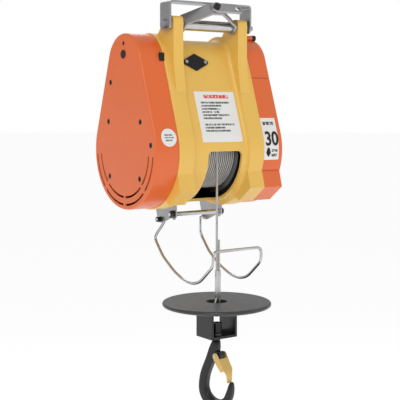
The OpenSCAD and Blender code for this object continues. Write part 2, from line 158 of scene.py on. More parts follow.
def mathNode(tree, kind, a, b=0.5):
    n = tree.nodes.new("ShaderNodeMath")
    n.operation = kind
    for socket, value in ((n.inputs[0], a), (n.inputs[1], b)):
        if hasattr(value, "is_linked"):
            link(tree, value, socket)
        else:
            socket.default_value = value
    return n.outputs[0]


def noiseNode(tree, scale, detail=3.0, stretch=None):
    coord = tree.nodes.new("ShaderNodeTexCoord")
    noise = tree.nodes.new("ShaderNodeTexNoise")
    noise.inputs["Detail"].default_value = detail
    noise.inputs["Scale"].default_value = scale
    if stretch:
        mapping = tree.nodes.new("ShaderNodeMapping")
        mapping.inputs["Scale"].default_value = stretch
        link(tree, coord.outputs["Object"], mapping.inputs["Vector"])
        link(tree, mapping.outputs["Vector"], noise.inputs["Vector"])
    else:
        link(tree, coord.outputs["Object"], noise.inputs["Vector"])
    return noise.outputs["Fac"]


def mixColour(tree, mask, a, b):
    n = tree.nodes.new("ShaderNodeMix")
    n.data_type = "RGBA"
    link(tree, mask, n.inputs[0])
    for socket, value in ((n.inputs[6], a), (n.inputs[7], b)):
        if hasattr(value, "is_linked"):
            link(tree, value, socket)
        else:
            socket.default_value = (*value, 1)
    return n.outputs[2]


def paintGroup():
    # paint: soft mottling, a painted highlight along the edges, fine orange peel
    tree, gin, gout = newGroup("paintFilm", [("Colour", "NodeSocketColor", (1, 1, 1, 1)),
        ("Edge Highlight", "NodeSocketColor", (1, 1, 1, 1)), ("Mottle", "NodeSocketFloat", 0.1),
        ("Roughness", "NodeSocketFloat", 0.4), ("Peel", "NodeSocketFloat", 0.1)],
        [("Colour", "NodeSocketColor"), ("Roughness", "NodeSocketFloat"), ("Normal", "NodeSocketVector")])
    cloud = noiseNode(tree, 9.0, 4.0)
    shade = mathNode(tree, "MULTIPLY_ADD", cloud, gin.outputs["Mottle"])
    dark = mixColour(tree, shade, gin.outputs["Colour"], (0.02, 0.01, 0.0))
    geo = tree.nodes.new("ShaderNodeNewGeometry")
    # the bevel normal against the true normal finds the edges, where the lighter edge colour is mixed in as a painted
    # highlight
    edgeHighlightBevel = tree.nodes.new("ShaderNodeBevel")
    edgeHighlightBevel.samples = 4
    edgeHighlightBevel.inputs["Radius"].default_value = 0.0012
    facing = tree.nodes.new("ShaderNodeVectorMath")
    facing.operation = "DOT_PRODUCT"
    link(tree, geo.outputs["Normal"], facing.inputs[0])
    link(tree, edgeHighlightBevel.outputs[0], facing.inputs[1])
    ramp = tree.nodes.new("ShaderNodeMapRange")
    ramp.inputs["From Min"].default_value = 0.985
    ramp.inputs["From Max"].default_value = 0.8
    ramp.inputs["To Max"].default_value = 0.4
    link(tree, facing.outputs["Value"], ramp.inputs["Value"])
    link(tree, mixColour(tree, ramp.outputs[0], dark, gin.outputs["Edge Highlight"]), gout.inputs["Colour"])
    grain = noiseNode(tree, 60.0, 5.0)
    rough = mathNode(tree, "MULTIPLY_ADD", grain, 0.12)
    link(tree, mathNode(tree, "ADD", rough, gin.outputs["Roughness"]), gout.inputs["Roughness"])
    bump = tree.nodes.new("ShaderNodeBump")
    bump.inputs["Distance"].default_value = 0.0004
    link(tree, gin.outputs["Peel"], bump.inputs["Strength"])
    link(tree, noiseNode(tree, 420.0, 2.0), bump.inputs["Height"])
    link(tree, bump.outputs[0], gout.inputs["Normal"])
    for n in tree.nodes:
        if n.type == "MATH" and n.operation == "MULTIPLY_ADD":
            n.inputs[2].default_value = -0.04
    return tree


def metalGroup():
    # drawn or plated metal: streaks along X, small scratches, dull patches
    tree, gin, gout = newGroup("metalSkin", [("Light", "NodeSocketColor", (1, 1, 1, 1)),
        ("Dark", "NodeSocketColor", (0.5, 0.5, 0.5, 1)), ("Roughness", "NodeSocketFloat", 0.3),
        ("Scratch", "NodeSocketFloat", 0.1)],
        [("Colour", "NodeSocketColor"), ("Roughness", "NodeSocketFloat"), ("Normal", "NodeSocketVector")])
    patch = noiseNode(tree, 35.0, 4.0)
    streak = noiseNode(tree, 40.0, 3.0, (1.0, 14.0, 14.0))
    link(tree, mixColour(tree, patch, gin.outputs["Light"], gin.outputs["Dark"]), gout.inputs["Colour"])
    vary = mathNode(tree, "MULTIPLY", streak, 0.22)
    link(tree, mathNode(tree, "ADD", vary, gin.outputs["Roughness"]), gout.inputs["Roughness"])
    bump = tree.nodes.new("ShaderNodeBump")
    bump.inputs["Distance"].default_value = 0.0002
    link(tree, gin.outputs["Scratch"], bump.inputs["Strength"])
    link(tree, streak, bump.inputs["Height"])
    link(tree, bump.outputs[0], gout.inputs["Normal"])
    return tree


paintFilm = paintGroup()
metalSkin = metalGroup()


def blankMaterial(name):
    mat = bpy.data.materials.new(name)
    mat.use_nodes = True
    tree = mat.node_tree
    return mat, tree, tree.nodes["Principled BSDF"]


def useGroup(tree, shader, group, values):
    n = tree.nodes.new("ShaderNodeGroup")
    n.node_tree = group
    for label, value in values.items():
        n.inputs[label].default_value = (*value, 1) if isinstance(value, tuple) else value
    link(tree, n.outputs["Colour"], shader.inputs["Base Color"])
    link(tree, n.outputs["Roughness"], shader.inputs["Roughness"])
    link(tree, n.outputs["Normal"], shader.inputs["Normal"])


# edge is the lighter colour of the painted highlight along the edges
def paint(name, colour, edge, mottle=0.12, roughness=0.36, peel=0.1, coat=0.25, shine=0.5):
    mat, tree, shader = blankMaterial(name)
    useGroup(tree, shader, paintFilm, {"Colour": colour, "Edge Highlight": edge, "Mottle": mottle,
        "Roughness": roughness, "Peel": peel})
    shader.inputs["Coat Weight"].default_value = coat
    shader.inputs["Coat Roughness"].default_value = 0.2
    shader.inputs["Specular IOR Level"].default_value = shine
    return mat


def metal(name, light, dark, roughness=0.3, scratch=0.12):
    mat, tree, shader = blankMaterial(name)
    useGroup(tree, shader, metalSkin, {"Light": light, "Dark": dark, "Roughness": roughness, "Scratch": scratch})
    shader.inputs["Metallic"].default_value = 1.0
    return mat


def ropeMetal(name, windingRadius=0.0):
    # bright wires, with painted shade in the hollows between the strands and between the wraps
    mat, tree, shader = blankMaterial(name)
    useGroup(tree, shader, metalSkin, {"Light": (0.66, 0.65, 0.63), "Dark": (0.42, 0.41, 0.4), "Roughness": 0.28,
        "Scratch": 0.3})
    geo = tree.nodes.new("ShaderNodeNewGeometry")
    hollow = tree.nodes.new("ShaderNodeMapRange")
    hollow.inputs["From Min"].default_value = 0.50
    hollow.inputs["From Max"].default_value = 0.44
    link(tree, geo.outputs["Pointiness"], hollow.inputs["Value"])
    mask = hollow.outputs[0]
    if windingRadius:
        coord = tree.nodes.new("ShaderNodeTexCoord")
        around = tree.nodes.new("ShaderNodeVectorMath")
        around.operation = "SUBTRACT"
        around.inputs[1].default_value = drumAxis
        flat = tree.nodes.new("ShaderNodeVectorMath")
        flat.operation = "MULTIPLY"
        flat.inputs[1].default_value = (0, 1, 1)
        far = tree.nodes.new("ShaderNodeVectorMath")
        far.operation = "LENGTH"
        link(tree, coord.outputs["Object"], around.inputs[0])
        link(tree, around.outputs[0], flat.inputs[0])
        link(tree, flat.outputs[0], far.inputs[0])
        wrapGapShade = tree.nodes.new("ShaderNodeMapRange")
        wrapGapShade.inputs["From Min"].default_value = windingRadius - 0.0007
        wrapGapShade.inputs["From Max"].default_value = windingRadius - 0.0019
        link(tree, far.outputs["Value"], wrapGapShade.inputs["Value"])
        mask = mathNode(tree, "MAXIMUM", mask, wrapGapShade.outputs[0])
    # the mask mixes near-black into the wire colour: painted shade in the strand hollows and, on the drum, below the
    # tops of the wraps
    group = shader.inputs["Base Color"].links[0].from_socket
    link(tree, mixColour(tree, mask, group, (0.03, 0.028, 0.026)), shader.inputs["Base Color"])
    shader.inputs["Metallic"].default_value = 0.9
    return mat


def printedPlate(name, title, ink, rows, xSpan, zSpan):
    # a white film with lines of small unreadable print
    mat, tree, shader = blankMaterial(name)
    coord = tree.nodes.new("ShaderNodeTexCoord")
    split = tree.nodes.new("ShaderNodeSeparateXYZ")
    link(tree, coord.outputs["Object"], split.inputs[0])
    across = mathNode(tree, "DIVIDE", mathNode(tree, "SUBTRACT", split.outputs[0], xSpan[0]), xSpan[1] - xSpan[0])
    down = mathNode(tree, "DIVIDE", mathNode(tree, "SUBTRACT", zSpan[1], split.outputs[2]), zSpan[1] - zSpan[0])
    letters = mathNode(tree, "GREATER_THAN", noiseNode(tree, 1.0, 1.0, (700.0, 1.0, 120.0)), 0.43)
    total = None
    for top, high, left, right in rows:
        inside = mathNode(tree, "COMPARE", down, top)
        inside.node.inputs[2].default_value = high / 2
        wide = mathNode(tree, "COMPARE", across, (left + right) / 2)
        wide.node.inputs[2].default_value = (right - left) / 2
        part = mathNode(tree, "MULTIPLY", inside, wide)
        total = part if total is None else mathNode(tree, "MAXIMUM", total, part)
    mask = mathNode(tree, "MULTIPLY", total, letters)
    red = mathNode(tree, "LESS_THAN", down, title)
    inkColour = mixColour(tree, red, ink, (0.75, 0.03, 0.02))
    paper = mixColour(tree, noiseNode(tree, 12.0), (0.86, 0.86, 0.84), (0.8, 0.8, 0.78))
    link(tree, mixColour(tree, mask, paper, inkColour), shader.inputs["Base Color"])
    shader.inputs["Roughness"].default_value = 0.35
    shader.inputs["Coat Weight"].default_value = 0.4
    return mat


yellowPaint = paint("yellowCasting", (0.85, 0.52, 0.098), (0.96, 0.75, 0.32), 0.1, 0.38, 0.16)
orangePaint = paint("orangeCover", (0.79, 0.143, 0.024), (0.95, 0.42, 0.2), 0.1, 0.36, 0.12)
blackPlastic = paint("blackPlastic", (0.010, 0.010, 0.011), (0.06, 0.06, 0.06), 0.1, 0.45, 0.2, 0.0, 0.3)
discPlastic = paint("discPlastic", (0.045, 0.045, 0.047), (0.14, 0.14, 0.14), 0.2, 0.3, 0.14, 0.15, 0.45)
blackSteel = paint("blackSteel", (0.010, 0.010, 0.011), (0.12, 0.12, 0.12), 0.2, 0.3, 0.2, 0.1, 0.4)
latchYellow = paint("latchYellow", (0.76, 0.5, 0.13), (0.92, 0.78, 0.4), 0.15, 0.32, 0.08)
zincSteel = metal("zincSteel", (0.5, 0.5, 0.51), (0.34, 0.34, 0.35), 0.26, 0.15)
chromeSteel = metal("chromeSteel", (0.66, 0.66, 0.67), (0.44, 0.44, 0.45), 0.06, 0.04)
ropeWire = ropeMetal("ropeWire")
woundWire = ropeMetal("woundWire", (span("wound_rope", 2)[1] - span("wound_rope", 2)[0]) / 2)
gearSteel = metal("gearSteel", (0.45, 0.45, 0.46), (0.3, 0.3, 0.3), 0.3, 0.2)
copperWire = metal("copperWire", (0.7, 0.34, 0.2), (0.45, 0.2, 0.11), 0.3, 0.3)
brassSheet = metal("brassSheet", (0.75, 0.58, 0.28), (0.55, 0.4, 0.18), 0.25, 0.1)
creamPlastic = paint("creamPlastic", (0.7, 0.66, 0.54), (0.85, 0.8, 0.7), 0.1, 0.45, 0.1)
plateRows = [(0.10, 0.07, 0.22, 0.84)] + [(0.22 + 0.062 * i, 0.036, 0.12, 0.12 + w)
    for i, w in enumerate((0.72, 0.5, 0.46, 0.42, 0.66, 0.46, 0.0, 0.74, 0.5, 0.62)) if w]
ratingPrint = printedPlate("ratingPrint", 0.15, (0.07, 0.07, 0.07), plateRows,
    span("rating_plate", 0), span("rating_plate", 2))
plainFilm = printedPlate("plainFilm", -1.0, (0.05, 0.05, 0.05), [(0.13, 0.08, 0.12, 0.84),
    (0.78, 0.07, 0.5, 0.92), (0.89, 0.07, 0.5, 0.9)], span("height_label", 0), span("height_label", 2))
roundFilm = printedPlate("roundFilm", -1.0, (0.1, 0.1, 0.1), [(0.35, 0.08, 0.22, 0.78), (0.5, 0.08, 0.2, 0.8),
    (0.65, 0.08, 0.25, 0.7)], span("round_label", 0), span("round_label", 2))

finishes = {
    yellowPaint: ["housing"], orangePaint: ["gearbox_cover", "control_cover", "motor_end_cover"],
    blackPlastic: ["inspection_plug", "cover_clip", "brush_covers", "cable_gland", "cooling_fan",
        "carbon_brushes", "bail_end_caps", "limit_switch"],
    blackSteel: ["cover_screws", "bail_bolt", "rod_nuts", "hook_frame", "swivel_nut", "hook"],
    discPlastic: ["stop_disc"], latchYellow: ["latch"], creamPlastic: ["terminal_block"],
    zincSteel: ["suspension_yoke", "yoke_bolt", "yoke_nut", "yoke_spacers", "safety_bail", "eye_plate", "left_bracket",
        "right_bracket", "thimble", "thimble_pin", "thrust_washer"],
    chromeSteel: ["brush_cover_screws", "cross_tube", "guide_rod", "limit_bail", "ferrule", "latch_pin", "latch_spring"],
    ropeWire: ["wound_rope", "rope_fall", "rope_loop"],
    gearSteel: ["drum", "rotor", "motor_bearings", "idler_shaft", "idler_gear", "drum_gear", "drum_shaft", "drum_bearings"],
    copperWire: ["stator", "commutator"], brassSheet: ["brush_holders"],
    ratingPrint: ["rating_plate"], plainFilm: ["height_label"], roundFilm: ["round_label"]}
for finish, names in finishes.items():
    for name in names:
        data = nodes[name].data
        data.materials.clear()
        data.materials.append(finish)
print("finishes set on", len(nodes), "nodes")


# mesh helpers

def linkMesh(name, bm, mat, smooth=35):
    bmesh.ops.recalc_face_normals(bm, faces=bm.faces)
    mesh = bpy.data.meshes.new(name)
    bm.to_mesh(mesh)
    bm.free()
    obj = bpy.data.objects.new(name, mesh)
    bpy.context.collection.objects.link(obj)
    mesh.materials.append(mat)
    shadeSmooth(mesh, smooth)
    return obj


def shadeSmooth(mesh, angle=35):
    for p in mesh.polygons:
        p.use_smooth = True
    bm = bmesh.new()
    bm.from_mesh(mesh)
    for e in bm.edges:
        e.smooth = not (len(e.link_faces) == 2 and e.calc_face_angle(0) > math.radians(angle))
    bm.to_mesh(mesh)
    bm.free()


def applied(obj):
    # the evaluated mesh takes the object's place and its modifiers go
    graph = bpy.context.evaluated_depsgraph_get()
    mesh = bpy.data.meshes.new_from_object(obj.evaluated_get(graph))
    obj.modifiers.clear()
    obj.data = mesh
    return obj


def standsFor(piece, body, slot, *names):
    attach(piece, body)
    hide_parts(*names)


def teardropRing(big, small, count=96, foot=None):
    # the outline round the drum and the motor, in Y and Z from the drum axis
    s = (big - small) / motorRise
    c = math.sqrt(1 - s * s)
    tilt = math.asin(s)
    ring = []
    for i in range(count):
        a = math.pi - tilt + (math.pi + 2 * tilt) * i / (count - 1)
        ring.append((big * math.cos(a), big * math.sin(a)))
    for i in range(1, 9):
        t = i / 9
        ring.append((big * c + (small - big) * c * t, big * s + (motorRise + (small - big) * s) * t))
    for i in range(count // 2):
        a = tilt + (math.pi - 2 * tilt) * i / (count // 2 - 1)
        ring.append((small * math.cos(a), motorRise + small * math.sin(a)))
    for i in range(1, 9):
        t = i / 9
        ring.append((-small * c + (small - big) * c * t, motorRise + small * s + (big * s - motorRise - small * s) * t))
    return ring


def loft(stations):
    # stations: (x, big radius, small radius), joined into one closed skin
    bm = bmesh.new()
    rings = []
    for x, big, small in stations:
        rings.append([bm.verts.new((x, drumAxis.y + y, drumAxis.z + z)) for y, z in teardropRing(big, small)])
    count = len(rings[0])
    for a, b in zip(rings, rings[1:]):
        for i in range(count):
            bm.faces.new((a[i], a[(i + 1) % count], b[(i + 1) % count], b[i]))
    bm.faces.new(rings[0])
    bm.faces.new(rings[-1])
    bmesh.ops.recalc_face_normals(bm, faces=bm.faces)
    return bm


def prism(points, x0, x1):
    # a flat outline in Y and Z from the drum axis, between two X stations
    bm = bmesh.new()
    ends = [[bm.verts.new((x, drumAxis.y + y, drumAxis.z + z)) for y, z in points] for x in (x0, x1)]
    count = len(points)
    for i in range(count):
        bm.faces.new((ends[0][i], ends[0][(i + 1) % count], ends[1][(i + 1) % count], ends[1][i]))
    bm.faces.new(ends[0])
    bm.faces.new(ends[1])
    bmesh.ops.recalc_face_normals(bm, faces=bm.faces)
    return bm


def disc(radius, x0, x1, y=0.0, z=0.0, count=96):
    return prism([(y + radius * math.cos(2 * math.pi * i / count), z + radius * math.sin(2 * math.pi * i / count))
        for i in range(count)], x0, x1)


def carve(base, cutters, kind="DIFFERENCE"):
    # boolean with every cutter in turn, then the cutters go
    for bm in cutters:
        mesh = bpy.data.meshes.new("cutter")
        bm.to_mesh(mesh)
        bm.free()
        tool = bpy.data.objects.new("cutter", mesh)
        bpy.context.collection.objects.link(tool)
        mod = base.modifiers.new("carve", "BOOLEAN")
        mod.operation = kind
        mod.solver = "EXACT"
        mod.object = tool
        applied(base)
        bpy.data.objects.remove(tool)


def softEdges(obj, width, angle=40, segments=3):
    mod = obj.modifiers.new("softEdges", "BEVEL")
    mod.width = width
    mod.segments = segments
    mod.limit_method = "ANGLE"
    mod.angle_limit = math.radians(angle)
    mod.harden_normals = False
    applied(obj)
    shadeSmooth(obj.data, 32)
    obj.modifiers.new("evenNormals", "WEIGHTED_NORMAL").keep_sharp = True
    applied(obj)


# the yellow casting
casting = {"shell": 0.110, "shellTop": 0.053, "rim": 0.121, "rimTop": 0.0645, "fillet": 0.012,
    "rimInner": 0.0685, "ear": (0.0685, 0.092), "cavity": 0.104, "edge": 0.0022}
footOutline = [(-0.090, -0.040), (-0.113, -0.044), (-0.122, -0.077), (-0.082, -0.107), (-0.060, -0.090)]


def arcPoints(cy, cz, r, a0, a1, count):
    return [(cy + r * math.cos(math.radians(a0 + (a1 - a0) * i / count)),
        cz + r * math.sin(math.radians(a0 + (a1 - a0) * i / count))) for i in range(count + 1)]


def castingStations():
    out = flangeEnd
    rim, inner, f = casting["rim"], casting["rimInner"], casting["fillet"]
    rise, riseTop = rim - casting["shell"], casting["rimTop"] - casting["shellTop"]
    left = [(-out, rim - 0.0012, casting["rimTop"] - 0.0012), (-out + 0.0012, rim, casting["rimTop"])]
    left += [(-inner - 0.003, rim, casting["rimTop"]), (-inner - 0.001, rim - 0.0008, casting["rimTop"] - 0.0008)]
    for i in range(9):
        t = i / 8
        drop = 1 - math.sqrt(max(0.0, 1 - (1 - t) ** 2))
        left.append((-inner + f * t, casting["shell"] + rise * drop * 0.8, casting["shellTop"] + riseTop * drop * 0.8))
    return left + [(-x, big, small) for x, big, small in reversed(left)]


def makeCasting():
    bm = loft(castingStations())
    piece = linkMesh("castHousing", bm, yellowPaint)
    ear = [(0.0, 0.190), (-0.060, 0.120), (-0.0885, 0.118), (-0.0812, 0.160), (-0.078, 0.185)] + arcPoints(-0.070, 0.262, 0.008, 180, 90, 6)
    ear += arcPoints(-0.050, 0.262, 0.008, 90, 35, 4) + [(-0.022, 0.238), (0.0, 0.226)]
    adds = []
    for side in (-1, 1):
        x0, x1 = sorted((side * casting["ear"][0], side * casting["ear"][1]))
        adds.append(prism(ear, x0, x1))
        f0, f1 = sorted((side * casting["rimInner"], side * flangeEnd))
        for front in (1, -1):
            adds.append(prism([(y * front, z) for y, z in footOutline], f0, f1))
    carve(piece, adds, "UNION")
    ropeX, window = ropeAt.x, 0.0425
    arch = [(ropeX - window, -0.14), (ropeX - window, -0.006), (ropeX - window + 0.006, 0.0),
        (ropeX + window - 0.006, 0.0), (ropeX + window, -0.006), (ropeX + window, -0.14)]
    slotCut = bmesh.new()
    ends = [[slotCut.verts.new((x, drumAxis.y + y, drumAxis.z + z)) for x, z in arch] for y in (-0.14, -0.004)]
    for i in range(6):
        slotCut.faces.new((ends[0][i], ends[0][(i + 1) % 6], ends[1][(i + 1) % 6], ends[1][i]))
    slotCut.faces.new(ends[0])
    slotCut.faces.new(ends[1])
    bmesh.ops.recalc_face_normals(slotCut, faces=slotCut.faces)
    room = teardropRing(0.1145, 0.058)
    cuts = [slotCut, disc(casting["cavity"], -0.062, 0.0655, count=128), disc(0.047, -0.062, 0.0655, 0, motorRise),
        prism(room, -0.12, -0.074), prism(room, 0.074, 0.12),
        disc(0.0211, -0.08, 0.08), disc(0.0131, -0.08, 0.08, 0, motorRise), disc(0.0061, -0.08, -0.057, 0, 0.1)]
    tube = boxCentre("cross_tube")
    cuts.append(disc(0.0111, -0.1, 0.1, tube.y - drumAxis.y, tube.z - drumAxis.z, 48))
    carve(piece, cuts)
    softEdges(piece, casting["edge"], 42, 2)
    # the faces inside the drum cavity and its end walls take black: painted shade inside the casting round the drum
    piece.data.materials.append(blackPlastic)
    for face in piece.data.polygons:
        away = Vector((0, face.center.y - drumAxis.y, face.center.z - drumAxis.z))
        inward = away.normalized().dot(face.normal) < -0.8
        endWall = abs(face.normal.x) > 0.9 and abs(face.center.x) > 0.061
        if away.length < casting["cavity"] + 0.0008 and abs(face.center.x) < 0.0657 and (inward or endWall):
            face.material_index = 1
    standsFor(piece, "frame", "yellow_casting", "housing")
    print("casting made:", len(piece.data.polygons), "faces")


makeCasting()

# the orange covers
cover = {"big": 0.1185, "top": 0.062, "wall": 0.0035, "round": 0.004, "slotWidth": 0.0046,
    "rows": (0.108, 0.0925), "starts": (184, 228, 272, 316), "sweep": 40}
screwSpots = [(-0.0585, -0.0528), (0.0585, -0.0528), (-0.062, 0.060), (0.062, 0.060), (-0.100, 0.015), (0.052, 0.140)]


def coverStations(joint, face, grow=0.0):
    way = 1 if face > joint else -1
    r = cover["round"]
    out = [(joint, cover["big"] - 0.0006, cover["top"] - 0.0006),
        (joint + way * 0.0006, cover["big"], cover["top"])]
    for i in range(7):
        a = math.pi / 2 * i / 6
        drop = r * (1 - math.cos(a))
        out.append((face - way * r * (1 - math.sin(a)), cover["big"] - drop, cover["top"] - drop))
    return out


def ventCut(radius, start):
    half = cover["slotWidth"] / 2
    steps = 20
    pts = []
    for r, order in ((radius + half, range(steps + 1)), (radius - half, range(steps, -1, -1))):
        for i in order:
            a = math.radians(start + cover["sweep"] * i / steps)
            pts.append((r * math.cos(a), r * math.sin(a)))
    return prism(pts, coverFace - 0.01, coverFace + 0.008)


def makeGearboxCover():
    piece = linkMesh("gearboxCoverShell", loft(coverStations(coverJoint, coverFace)), orangePaint)
    inner = teardropRing(cover["big"] - cover["wall"], cover["top"] - cover["wall"])
    cuts = [prism(inner, coverFace + cover["wall"], coverJoint + 0.01)]
    carve(piece, cuts)
    bosses = [prism(arcPoints(y, z, 0.008, 0, 352.5, 47), coverFace + 0.002, coverFace + 0.012) for y, z in screwSpots]
    carve(piece, bosses, "UNION")
    cuts = [disc(0.0058, coverFace - 0.01, coverFace + 0.009, y, z, 40) for y, z in screwSpots]
    cuts += [disc(0.007, coverFace - 0.01, coverFace + 0.01, 0, 0.195, 48)]
    cuts += [disc(0.0044, coverFace - 0.01, coverFace + 0.01, 0, 0.2166, 32)]
    cuts += [ventCut(r, a) for r in cover["rows"] for a in cover["starts"]]
    carve(piece, cuts)
    softEdges(piece, 0.0005, 50, 2)
    standsFor(piece, "frame", "orange_cover", "gearbox_cover")
    print("gearbox cover made:", len(piece.data.polygons), "faces")


makeGearboxCover()


def makeScrewHeads():
    # dark hexagon-socket heads, just below the cover's face
    bm = bmesh.new()
    for y, z, r in [(y, z, 0.0055) for y, z in screwSpots] + [(0, 0.2166, 0.0041)]:
        rings = []
        for radius, depth, sides in ((r, 0.006, 36), (r, 0.0012, 36), (r - 0.0006, 0.0006, 36)):
            rings.append([bm.verts.new((coverFace + depth, drumAxis.y + y + radius * math.cos(2 * math.pi * i / sides),
                drumAxis.z + z + radius * math.sin(2 * math.pi * i / sides))) for i in range(sides)])
        for radius, depth in ((r * 0.52, 0.0006), (r * 0.5, 0.0035)):
            ring = []
            for i in range(36):
                a = 2 * math.pi * i / 36
                flat = radius * math.cos(math.pi / 6) / math.cos((a % (math.pi / 3)) - math.pi / 6)
                ring.append(bm.verts.new((coverFace + depth, drumAxis.y + y + flat * math.cos(a),
                    drumAxis.z + z + flat * math.sin(a))))
            rings.append(ring)
        for a, b in zip(rings, rings[1:]):
            for k in range(36):
                bm.faces.new((a[k], a[(k + 1) % 36], b[(k + 1) % 36], b[k]))
        bm.faces.new(rings[0])
        bm.faces.new(rings[-1])
    heads = linkMesh("coverScrewHeads", bm, blackSteel)
    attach(heads, "frame")


makeScrewHeads()


def makeCoverSeam():
    # a dark parting line round the right-hand covers
    x0, x1 = span("motor_end_cover", 0)[0] + 0.002, span("control_cover", 0)[1]
    z = span("control_cover", 2)[1] - drumAxis.z
    s = (cover["big"] - cover["top"]) / motorRise
    c = math.sqrt(1 - s * s)
    y = (cover["big"] - z * s) / c
    bm = bmesh.new()
    for size, centre in (((x1 - x0 - cover["round"], 0.0006, 0.0009), ((x0 + x1 - cover["round"]) / 2, -y, z)),
            ((x1 - x0 - cover["round"], 0.0006, 0.0009), ((x0 + x1 - cover["round"]) / 2, y, z)),
            ((0.0004, 2 * y - 2 * cover["round"], 0.0009), (x1, 0, z))):
        place = Matrix.Translation((centre[0], drumAxis.y + centre[1], drumAxis.z + centre[2]))
        bmesh.ops.create_cube(bm, size=1, matrix=place @ Matrix.Diagonal((*size, 1)))
    seam = linkMesh("coverSeam", bm, blackPlastic)
    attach(seam, "frame")


makeCoverSeam()


# wire rope: six strands twisted round each other
rope = {"radius": 0.0025, "groove": 0.00042, "lay": 0.030, "strands": 6, "riseRoom": 0.030, "intoFerrule": 0.023}


def strandTube(points, perStrand=4, radius=None, phase=0.0):
    radius = radius or rope["radius"]
    bm = bmesh.new()
    sides = rope["strands"] * perStrand
    tangent = (points[1] - points[0]).normalized()
    normal = tangent.orthogonal().normalized()
    travelled, last, rings = phase, points[0], []
    for i, p in enumerate(points):
        ahead = points[min(i + 1, len(points) - 1)] - points[max(i - 1, 0)]
        tangent = ahead.normalized()
        normal = (normal - tangent * normal.dot(tangent)).normalized()
        side = tangent.cross(normal)
        travelled += (p - last).length
        last = p
        twist = 2 * math.pi * travelled / rope["lay"]
        ring = []
        for k in range(sides):
            a = 2 * math.pi * k / sides
            r = radius - rope["groove"] * (1 - abs(math.cos(rope["strands"] * a / 2)))
            ring.append(bm.verts.new(p + r * (math.cos(a + twist) * normal + math.sin(a + twist) * side)))
        rings.append(ring)
    for a, b in zip(rings, rings[1:]):
        for k in range(sides):
            bm.faces.new((a[k], a[(k + 1) % sides], b[(k + 1) % sides], b[k]))
    bm.faces.new(rings[0])
    bm.faces.new(rings[-1])
    return bm


def straight(a, b, step):
    a, b = Vector(a), Vector(b)
    count = max(2, int((b - a).length / step))
    return [a.lerp(b, i / count) for i in range(count + 1)]


def makeRopes():
    top, low = span("rope_fall", 2)[1], span("rope_fall", 2)[0]
    x, y = ropeAt.x, ropeAt.y
    # the fall is drawn twice, one inside the other: one part hangs from the drum, one goes down with the hook
    fixed = linkMesh("ropeFromDrum", strandTube(straight((x, y, top), (x, y, low - rope["intoFerrule"]), 0.0012), 4, 0.00245),
        ropeWire, 60)
    moving = linkMesh("ropeToHook", strandTube(straight((x, y, top - rope["riseRoom"]), (x, y, low), 0.0012)), ropeWire, 60)
    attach(fixed, "frame")
    standsFor(moving, "block", "wire_rope", "rope_fall")
    low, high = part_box("wound_rope")
    radius, wraps = (high[2] - low[2]) / 2 - rope["radius"], 18
    points = []
    perTurn = 190
    for i in range(int(wraps * perTurn) - perTurn // 2):
        a = 2 * math.pi * i / perTurn
        points.append(Vector((low[0] + rope["radius"] + 0.005 * i / perTurn,
            drumAxis.y - radius * math.cos(a), drumAxis.z + radius * math.sin(a))))
    coil = strandTube(points, 2)
    # a solid cylinder just inside the wraps; the woundWire depth mask makes it near-black, painted shade in the gaps
    # between the wraps
    under = disc(radius - 0.0015, low[0], high[0], count=96)
    mesh = bpy.data.meshes.new("under")
    under.to_mesh(mesh)
    under.free()
    coil.from_mesh(mesh)
    wound = linkMesh("ropeOnDrum", coil, woundWire, 60)
    standsFor(wound, "drum", "wire_rope", "wound_rope")
    print("rope made:", len(wound.data.polygons), "faces on the drum")


makeRopes()


# round wires and bars that follow a path
def tube(name, points, radius, mat, corner=0.0, steps=6, sides=20, closed=False):
    path = []
    pts = [Vector(p) for p in points]
    for i, p in enumerate(pts):
        if corner and 0 < i < len(pts) - 1:
            a = p + (pts[i - 1] - p).normalized() * min(corner, (pts[i - 1] - p).length * 0.48)
            b = p + (pts[i + 1] - p).normalized() * min(corner, (pts[i + 1] - p).length * 0.48)
            path += [a.lerp(p, k / steps).lerp(p.lerp(b, k / steps), k / steps) for k in range(steps + 1)]
        else:
            path.append(p)
    bm = bmesh.new()
    normal = (path[1] - path[0]).orthogonal().normalized()
    rings = []
    for i, p in enumerate(path):
        tangent = (path[min(i + 1, len(path) - 1)] - path[max(i - 1, 0)]).normalized()
        normal = (normal - tangent * normal.dot(tangent)).normalized()
        side = tangent.cross(normal)
        rings.append([bm.verts.new(p + radius * (math.cos(2 * math.pi * k / sides) * normal
            + math.sin(2 * math.pi * k / sides) * side)) for k in range(sides)])
    for a, b in zip(rings, rings[1:]):
        for k in range(sides):
            bm.faces.new((a[k], a[(k + 1) % sides], b[(k + 1) % sides], b[k]))
    bm.faces.new(rings[0])
    bm.faces.new(rings[-1])
    return linkMesh(name, bm, mat, 50)


limitBail = {"radius": 0.003, "corner": 0.012, "side": [(0.068, 0.045, -0.149), (0.047, 0.045, -0.149),
    (0.048, 0.048, -0.158), (0.061, 0.066, -0.190), (0.061, 0.033, -0.227), (0.061, -0.010, -0.254),
    (0.061, -0.046, -0.268), (0.061, -0.079, -0.271), (0.061, -0.104, -0.264), (0.061, -0.150, -0.226),
    (0.061, -0.150, -0.197)]}


def makeLimitBail():
    side = limitBail["side"]
    path = [(ropeAt.x - x, drumAxis.y + y, drumAxis.z + z) for x, y, z in side]
    path += [(ropeAt.x + x, drumAxis.y + y, drumAxis.z + z) for x, y, z in reversed(side)]
    piece = tube("limitBailWire", path, limitBail["radius"], chromeSteel, limitBail["corner"])
    standsFor(piece, "limit", "chrome", "limit_bail")


makeLimitBail()

# the forged hook: a rounded section swept along its bow
hookShape = {"turn": -75, "neck": -0.394, "bowl": -0.500, "thick": 0.010}


